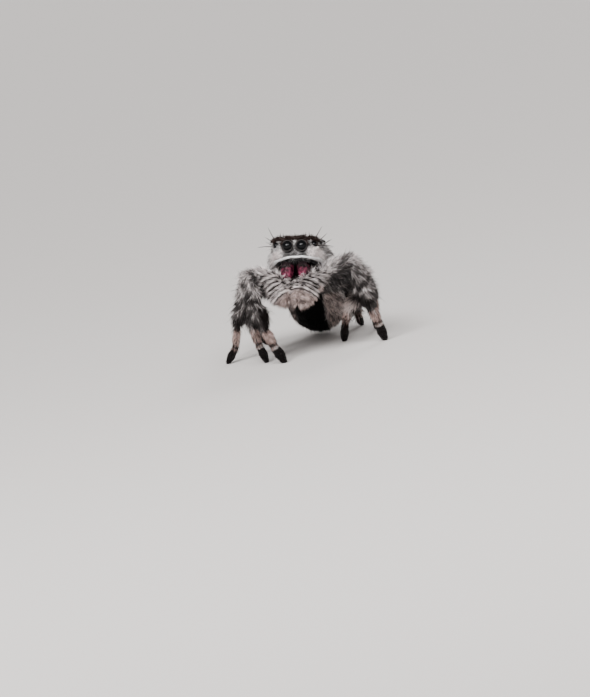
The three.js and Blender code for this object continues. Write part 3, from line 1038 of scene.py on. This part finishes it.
# %% Grow the short coat, piece by piece
middle_places = head.inside(middles)
on_face = ((triangle_kind == "carapace") & (middle_places[:, 1] < 0.8) & (middle_places[:, 2] < BROW)
           & (head.turned(triangle_normals)[:, 1] < 0.75))
short_coat("coat_face", on_face, hair_finish, FACE_COAT)
short_coat("coat_carapace", (triangle_kind == "carapace") & ~on_face, hair_finish)
short_coat("coat_breast", triangle_kind == "sternum_and_coxae", hair_finish)
short_coat("coat_abdomen", np.isin(triangle_kind, ("abdomen", "spinnerets")), hair_finish)
short_coat("coat_palps", np.char.startswith(triangle_kind, "palp"), hair_finish)
for limb in LIMBS:
    if limb.startswith("leg"):
        short_coat(f"coat_{limb}", of_leg(UPPER_LEG, limb), hair_finish)
short_coat("coat_feet", of_leg("tarsus"), foot_finish)
short_coat("coat_shins", of_leg("metatarsus"), hair_finish)

# %% [markdown]
# ## Eyes
# Four pairs of simple eyes look forwards, sideways and back. Each is a glossy black dome, sunk a
# little into the head, in a raised ring of bare skin. The ring is a small circle spun about the
# way that the eye looks. A texture could fake the ring, but it catches the light from all sides.

# %% Polish the eyes
LENS, RIM_WIDTH, RIM_FORWARD = 0.97, 0.11, 0.30  # all as shares of the eye's radius
LOOKS = {  # to the side, back and up, and how deep the eye sits, as a share of its radius
    "front_middle": ((0.05, -1, 0.0), 0.10),
    "front_side": ((0.42, -0.9, 0.05), 0.25),
    "rear_small": ((0.6, -0.35, 0.7), 0.25),
    "rear_side": ((0.8, 0.25, 0.5), 0.35),
}
WET_BLACK = {"Base Color": (0.001, 0.001, 0.0015, 1), "Roughness": 0.08, "Specular IOR Level": 0.18}
eye_finish = Finish("lens", WET_BLACK)
eye_finish.bump(eye_finish.noise(0.3), 0.1, 0.002)
rim_finish = Finish("eye_rim", {"Specular IOR Level": 0.3, "Base Color": (0.012, 0.008, 0.007, 1)})
rim_finish.feed(rim_finish.shader.inputs["Roughness"], rim_finish.noise(0.05) * 0.3 + 0.35)
rim_finish.bump(rim_finish.noise(0.03), 0.4, 0.008)


def eye_piece(name, shape, seat, finish):
    """A bmesh in millimetres, set in its seat in the head."""
    bmesh.ops.transform(shape, matrix=Matrix.Scale(MM, 4) @ seat, verts=shape.verts)
    bmesh.ops.recalc_face_normals(shape, faces=shape.faces)
    mesh = bpy.data.meshes.new(name)
    shape.to_mesh(mesh)
    shape.free()
    mesh.shade_smooth()
    return finished(name, mesh, finish)


for side, sign in SIDES.items():
    for place, (look, depth) in LOOKS.items():
        node = f"eye_{place}_{side}"
        centre, radius = eyes[node]
        ahead = Vector(unit(head.outside(np.array(look) * (sign, 1, 1))))
        seat = Matrix.Translation(Vector(centre) - ahead * depth * radius)
        seat = seat @ ahead.to_track_quat("Z", "Y").to_matrix().to_4x4()
        dome = bmesh.new()
        bmesh.ops.create_uvsphere(dome, u_segments=32, v_segments=20, radius=radius * LENS)
        lens = eye_piece(node + "_lens", dome, seat, eye_finish)
        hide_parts(node)
        ring = bmesh.new()
        tube = bmesh.ops.create_circle(ring, segments=8, radius=radius * RIM_WIDTH)["verts"]
        bmesh.ops.rotate(ring, verts=tube, cent=(0, 0, 0), matrix=Matrix.Rotation(math.pi / 2, 3, "X"))
        out = radius * math.sqrt(1 - RIM_FORWARD ** 2)
        bmesh.ops.translate(ring, verts=tube, vec=(out, 0, radius * RIM_FORWARD))
        bmesh.ops.spin(ring, geom=ring.verts[:] + ring.edges[:], cent=(0, 0, 0), axis=(0, 0, 1),
                       angle=2 * math.pi, steps=28, use_merge=True)
        eye_piece(node + "_rim", ring, seat, rim_finish)
print(len(eyes), "lenses and rims")

# %% [markdown]
# ## Jaws
# The jaws are the brightest part: bare, smooth and iridescent, from rose to wine. They darken
# towards their roots, their inner edges and the fangs, which a mask stored on each point says. At
# the roots, under the fringe, and at the inner edges, in the gap between the jaws, the dark is
# painted shade; at the fangs it is their own colour. The finish darkens them by 1 less that mask.

# %% Tint the jaws
ROSE, WINE, JAW_SHADE_AND_FANG_DARK = (0.23, 0.038, 0.08, 1), (0.05, 0.004, 0.014, 1), (0.006, 0.002, 0.003, 1)
jaw_finish = Finish("jaw", {"Metallic": 0.3, "Specular IOR Level": 0.5})
tint = jaw_finish.ramp(jaw_finish.noise(0.25), 0.4, 0.6)
# near black where the lit mask is low: painted shade at the roots, outer top corners and inner edges, and
# the fangs' own dark colour
jaw_finish.feed(jaw_finish.shader.inputs["Base Color"],
                jaw_finish.blend(1 - jaw_finish.shape("lit"), jaw_finish.blend(tint, WINE, ROSE), JAW_SHADE_AND_FANG_DARK))
jaw_finish.feed(jaw_finish.shader.inputs["Roughness"], jaw_finish.noise(0.2) * 0.25 + 0.14)
jaw_finish.bump(jaw_finish.noise(0.1), 0.5, 0.025)
SHADE_GAP_TOP, SHADE_GAP_SPREAD, SHADE_GAP_ASIDE = -1.33, 0.36, 0.08  # the painted shade in the gap between the jaws widens downwards from its top

# %% Shape the jaws
jaw_surfaces = {}
for side in SIDES:
    node = f"chelicera_{side}"
    mesh = melted([node], 0.04, 0.0, 4)
    places, normals = points_and_normals(mesh)
    faces = triangles_of(mesh)
    jaw_surfaces[side] = (places, normals, faces, np.full(len(faces), PART_NAMES.index("carapace")))
    x, y, z = head.inside(places).T
    # the lit mask is painted shade: dark at the roots under the fringe and brighter downwards, dark in the
    # gap between the jaws and at their outer top corners; near the tips it marks the fangs' own dark
    lit = 0.5 * steady(-z, 1.15, 1.35) + 0.35 * steady(-z, 1.4, 1.8)
    gap_shade_width = SHADE_GAP_SPREAD * np.clip(SHADE_GAP_TOP - z, 0, 1)
    lit *= steady(np.abs(x - SHADE_GAP_ASIDE), gap_shade_width, gap_shade_width + 0.08) * steady(z, -2.8, -2.5)
    lit *= 1 - 0.5 * steady(np.abs(x), 0.8, 1.0) * steady(z, -1.6, -1.3)
    store(mesh, lit=lit)
    mesh.transform(Matrix.Scale(MM, 4))
    mesh.shade_smooth()
    jaw = finished(f"jaw_{side}", mesh, jaw_finish)
    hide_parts(node)
    print(jaw.name, len(faces), "triangles")

# %% [markdown]
# ## Brow, fringe and bristles
# Long hairs give the face its look: a flat brown brow over the eyes, a bright white fringe above
# the jaws with a black one under it, which is partly dark hair and partly painted shade, and
# single dark bristles that stand out like lashes. They are planted one by one at places named in
# the head's own directions.


# %% Plant tufts of long hair
def tuft(name, roots, length, width, lift, bend, pale, warm, finish=hair_finish, rings=2, sides=3):
    """A piece of planted hair. All its measures but the roots are middle values."""
    hairs(name, roots, finish, roots.varied(length, 0.3), roots.varied(width, 0.25),
          roots.varied(np.radians(lift), 0.4), np.radians(bend),
          np.clip(pale + rng.normal(0, 0.04, roots.count), 0, 1), warm, rings, sides)


def outward(x, reach=0.35):
    """Which side hairs fall to: at random within reach of the middle, else their own side."""
    return np.where(rng.uniform(-reach, reach, len(x)) < x, 1.0, -1.0)


def rise(ways, normals, least=0.2, most=0.95):
    """How steeply hairs stand when they point some ways, in degrees."""
    return np.degrees(np.arcsin(np.clip((ways * normals).sum(1), least, most)))


# %% Plant the brow
count = 2200
x = rng.uniform(-1.32, 1.32, count)
z = BROW + rng.uniform(0.05, 0.4, count)
ways = outward(x), rng.uniform(-0.5, 0.1, count), rng.uniform(-0.05, 0.3, count)
roots = skin_ground.in_head((x, rng.uniform(-0.2, 0.15, count) + 0.15 * x ** 4, z), ways)
roots = roots.keep(clear_of_eyes(roots.points, 0.09))
tuft("brow", roots, length=0.48, width=0.038, lift=36, bend=24, pale=0.0, warm=0.95)

# %% Plant the fringe and the dark hair under it, which also paints the shade there
count = 2600
x = rng.uniform(-1.45, 1.75, count)
z = fringe_at(x) + rng.uniform(-0.04, 0.04, count)
off = x - FRINGE_ASIDE
slope = -2 * FRINGE_BOW * np.abs(off) - 4 * FRINGE_CURL * np.abs(off) ** 3
ways = outward(off), rng.uniform(-0.35, 0.0, count), slope + rng.uniform(-0.08, 0.05, count)
roots = skin_ground.in_head((x, 0.25 * x * x - 0.15, z), ways)
tuft("fringe", roots, length=0.4, width=0.036, lift=28, bend=28, pale=1.0, warm=0.0)

# black hair under the fringe: partly dark hair, partly painted shade under the fringe's overhang
count = 1400
x = rng.uniform(-1.6, 1.6, count)
z = fringe_at(x) - rng.uniform(0.1, 0.32, count)
ways = outward(x) * np.abs(x), -0.3, -0.5 - 0.3 * np.abs(x)
roots = skin_ground.in_head((x, 0.3 * x * x, z), ways)
tuft("under_fringe_hair_and_shade", roots, length=0.42, width=0.036, lift=26, bend=10, pale=0.0, warm=0.1)

# %% Plant the lashes
BRISTLES = [  # root and direction to the side, back and up, length, and bend in degrees
    ((0.72, 0.1, 0.6), (0.1, -0.35, 1), 0.5, 10),
    ((0.98, 0.2, 0.6), (-0.1, -0.3, 1), 0.55, -10),
    ((1.40, 0.25, 0.5), (0.5, -0.2, 0.8), 1.15, -14),
    ((1.50, 0.4, 0.35), (0.7, -0.1, 0.55), 0.8, -20),
    ((1.52, 0.25, 0.06), (0.9, -0.15, 0.1), 1.1, -40),
    ((1.66, 1.5, 0.3), (0.8, 0.1, 0.5), 0.7, -20),
    ((1.45, 2.4, 0.4), (0.6, 0.4, 0.7), 0.6, 10),
    ((0.25, 1.9, 0.8), (0.1, -0.1, 1), 0.5, 10),
]
for side, sign in SIDES.items():
    places, ways = (np.array(numbers) * (sign, 1, 1) for numbers in list(zip(*BRISTLES))[:2])
    ways = unit(head.outside(ways))
    roots = skin_ground.planted(head.spots(*places.T), ways)
    lift = np.radians(rise(ways, roots.normals, -1, 1))
    length = roots.varied([length for _, _, length, _ in BRISTLES], 0.12)
    bend = np.radians([bend for _, _, _, bend in BRISTLES])
    hairs(f"lashes_{side}", roots, bristle_finish, length, 0.06, lift, bend, 0.0, 0.9, 5, 5)

# %% [markdown]
# ## Beard and jaw hair
# Long hair on the palps falls to both sides in arcs, one over the other, so that the jaws show
# only above it. Below the last arc hangs a warm grey tuft, and short black hair grows down from
# the jaws' roots.

# %% Comb hair along the arcs
BEARD_HAIR = 0.62
BEARD_TOP = -2.03
BEARD_ROWS = [(-2.25, 0.95), (-2.34, 0.0), (-2.80, 1.0), (-2.90, 0.0)]  # an arc and its hairs' tone


def arcs_of_hair(name, roots, length, width, lift, tone=None, rings=3):
    """Long hairs along the beard's arcs. They take each arc's own tone, if none is given."""
    x = head.inside(roots.points)[:, 0] - PARTING
    side = outward(x, 0.6)
    yaw = rng.normal(0, 0.09, roots.count)
    roots.lies = laid_back(beard_way(roots.points, side), roots.normals)
    roots.combed(yaw)
    pale, warm = beard_marks(roots.points)
    if tone is not None:
        pale = tone
    pale = np.clip(pale + rng.normal(0, 0.08, roots.count), 0, 1)
    hairs(name, roots, hair_finish, length, width, roots.varied(lift, 0.4),
          roots.varied(lift * 1.2, 0.3), pale, warm, rings,
          sweep=-1.5 * side * arc_bow(roots.points) * length)


# %% Grow the beard
on_palps = np.char.startswith(triangle_kind, "palp")
palps = (skin_points, skin_normals, triangles[on_palps], triangle_part[on_palps])
beard_ground = Ground(palps, *jaw_surfaces.values())


def in_arcs(count, low, high, right=-2.1, left=2.6):
    """Roots all over the arcs from low to high, as the face's view sees them."""
    x = rng.uniform(right, left, count)
    z = height_on_arc(rng.uniform(low, high, count), x)
    return beard_ground.struck(head.spots(x, -4, z))


roots = in_arcs(11_000, -3.5, BEARD_TOP + 0.4)
x = head.inside(roots.points)[:, 0]
top = BEARD_TOP - 0.15 * band(x, 0.15, 0.9, 0.1)
roots = roots.keep((arc_at(roots.points) < top) | (np.abs(x - PARTING) > 1.2))
lower = steady(-arc_at(roots.points), 2.7, 3.2)
length = roots.varied(BEARD_HAIR - 0.15 * lower, 0.3)
arcs_of_hair("beard", roots, length, roots.varied(0.034 - 0.006 * lower, 0.2), 0.4)
for i, (arc, tone) in enumerate(BEARD_ROWS):
    roots = in_arcs(700, arc - 0.015, arc + 0.015)
    length = roots.varied(0.5, 0.3)
    arcs_of_hair(f"beard_row_{i + 1}", roots, length, roots.varied(0.07 * length, 0.2), 0.5, tone)

# %% Grow hair from the jaws' roots
count = 160
for side, sign in SIDES.items():
    x = sign * rng.uniform(0.05, 1.05, count)
    z = -0.95 - 0.2 * rng.uniform(0, 1, count) ** 1.6 - 0.05 * np.abs(x)
    roots = Ground(jaw_surfaces[side]).in_head((x, -0.5, z), (0.6 * x, -0.1, -1))
    tuft(f"jaw_hair_{side}", roots, length=0.18, width=0.026, lift=16, bend=10, pale=0.0, warm=0.3)

# %% Hang the warm tuft between the palps
count = 4200
x = rng.uniform(-1.1, 2.0, count)
z = rng.uniform(-3.75, -2.9, count) + 0.15 * np.abs(x - 0.5)
close = TUFT_GAP - x
aside = 0.3 * (x - PARTING) + np.tanh(close / 0.25) * (np.abs(close) < 0.75)
roots = skin_ground.in_head((x, -0.95, z), (aside, -0.35, -1))
ways = unit(head.ways(aside, -0.35, -1))
pale = 0.44 + 0.22 * mottle(roots.points, 0.16, 10) + rng.normal(0, 0.2, count)
steep = rise(ways, roots.normals)
tuft("beard_tuft", roots, length=0.55, width=0.026, lift=steep, bend=20, pale=pale, warm=0.75)

# %% [markdown]
# ## Guard hairs
# Thin hairs stand out of the flat coat of the legs, cheeks and abdomen and blur their outline, and
# longer dark ones hang beneath the two front pairs of legs. They are few and steep, so they cost
# little and the coat still looks laid.


# %% Grow the guard hairs
def guard_hairs(name, mask, per_square, length, lift, most=6000):
    roots = scattered(mask * 1.0, min(most, per_square * (mask * areas).sum()))
    roots = roots.keep(clear_of_eyes(roots.points, 0.12) & (roots.points[:, 2] > 0.1))
    roots.combed(rng.normal(0, 0.35, roots.count))
    pale, warm = hair_tones(roots, 0.8)
    hairs(name, roots, hair_finish, roots.varied(length, 0.35), roots.varied(0.019, 0.2),
          roots.varied(math.radians(lift), 0.35), roots.varied(0.3, 0.5), pale, warm, 2)


for limb in LIMBS:
    if limb.startswith("leg"):
        guard_hairs(f"guard_{limb}", of_leg(UPPER_LEG, limb), per_square=26, length=0.72, lift=42)
    if limb.startswith(("leg1", "leg2")):
        kinds = UPPER_LEG if limb.endswith("left") else UPPER_LEG[:2]
        beneath = of_leg(kinds, limb) & (triangle_normals[:, 2] < -0.3)
        roots = scattered(beneath * 1.0, 150 * len(kinds))
        ways = unit(roots.lies * 0.5 - (0, 0, 1))
        roots.lies = on_surface(ways, roots.normals)
        steep = rise(ways, roots.normals, most=0.9)
        tuft(f"hanging_{limb}", roots, length=0.75, width=0.03, lift=steep, bend=15, pale=0.03, warm=0.2)
guard_hairs("guard_dark_shin", of_leg("metatarsus", DARK_SHIN), per_square=200, length=0.62, lift=45)
back = np.isin(triangle_kind, ("abdomen", "carapace")) & ~on_face
guard_hairs("guard_body", back, per_square=14, length=0.5, lift=38)
cheeks = ((triangle_kind == "carapace") & (np.abs(middle_places[:, 0]) > 1.3) & (middle_places[:, 1] < 2.2)
          & (middle_places[:, 2] < -0.25))
guard_hairs("guard_cheeks", cheeks, per_square=130, length=0.5, lift=38)

# %% [markdown]
# ## Spines and claws
# Stout black spines stand in pairs on the two thin parts of each leg, and every foot ends in two
# small hooked claws. They are the same kind of spike as the hairs, with more sides and rings.

# %% Set the spines and claws
spine_places, spine_ways, claw_places, claw_ways = [], [], [], []
for name, (start, axis, length) in parts.items():
    if not name.startswith("leg"):
        continue
    down = unit(np.cross(axis, np.cross((0, 0, -1.0), axis)))
    aside = np.cross(axis, down)
    rows = {"tibia": (0.3, 0.6, 0.85), "metatarsus": (0.25, 0.55, 0.85)}.get(kind_of(name), ())
    for t in rows:
        for sign in (-1, 1):
            spine_places.append(start + axis * length * t + (down * 0.6 + aside * sign) * 0.5)
            spine_ways.append(axis)
    if kind_of(name) == "tarsus":
        for sign in (-1, 1):
            claw_places.append(start + axis * length * 0.96 + aside * sign * 0.06 - down * 0.12)
            claw_ways.append(axis + 0.15 * sign * aside)
roots = skin_ground.planted(spine_places, np.array(spine_ways))
tuft("spines", roots, 0.36, 0.05, lift=38, bend=6, pale=0.0, warm=0.2, finish=bristle_finish, sides=5)
roots = skin_ground.planted(claw_places, np.array(claw_ways))
tuft("claws", roots, 0.15, 0.035, 30, bend=80, pale=0.0, warm=0.3, finish=bristle_finish, rings=4, sides=5)

# %% Brush the toes
toes = np.zeros(len(areas))
for name in parts:
    if kind_of(name) == "tarsus":
        toes += (triangle_name == name) * steady(share_along(name, middles), 0.8, 0.9)
roots = scattered(toes, 1300)
roots = roots.keep(roots.points[:, 2] > 0.03)
tuft("toe_brushes", roots, 0.13, 0.026, lift=52, bend=20, pale=0.0, warm=0.2, finish=foot_finish, rings=1)
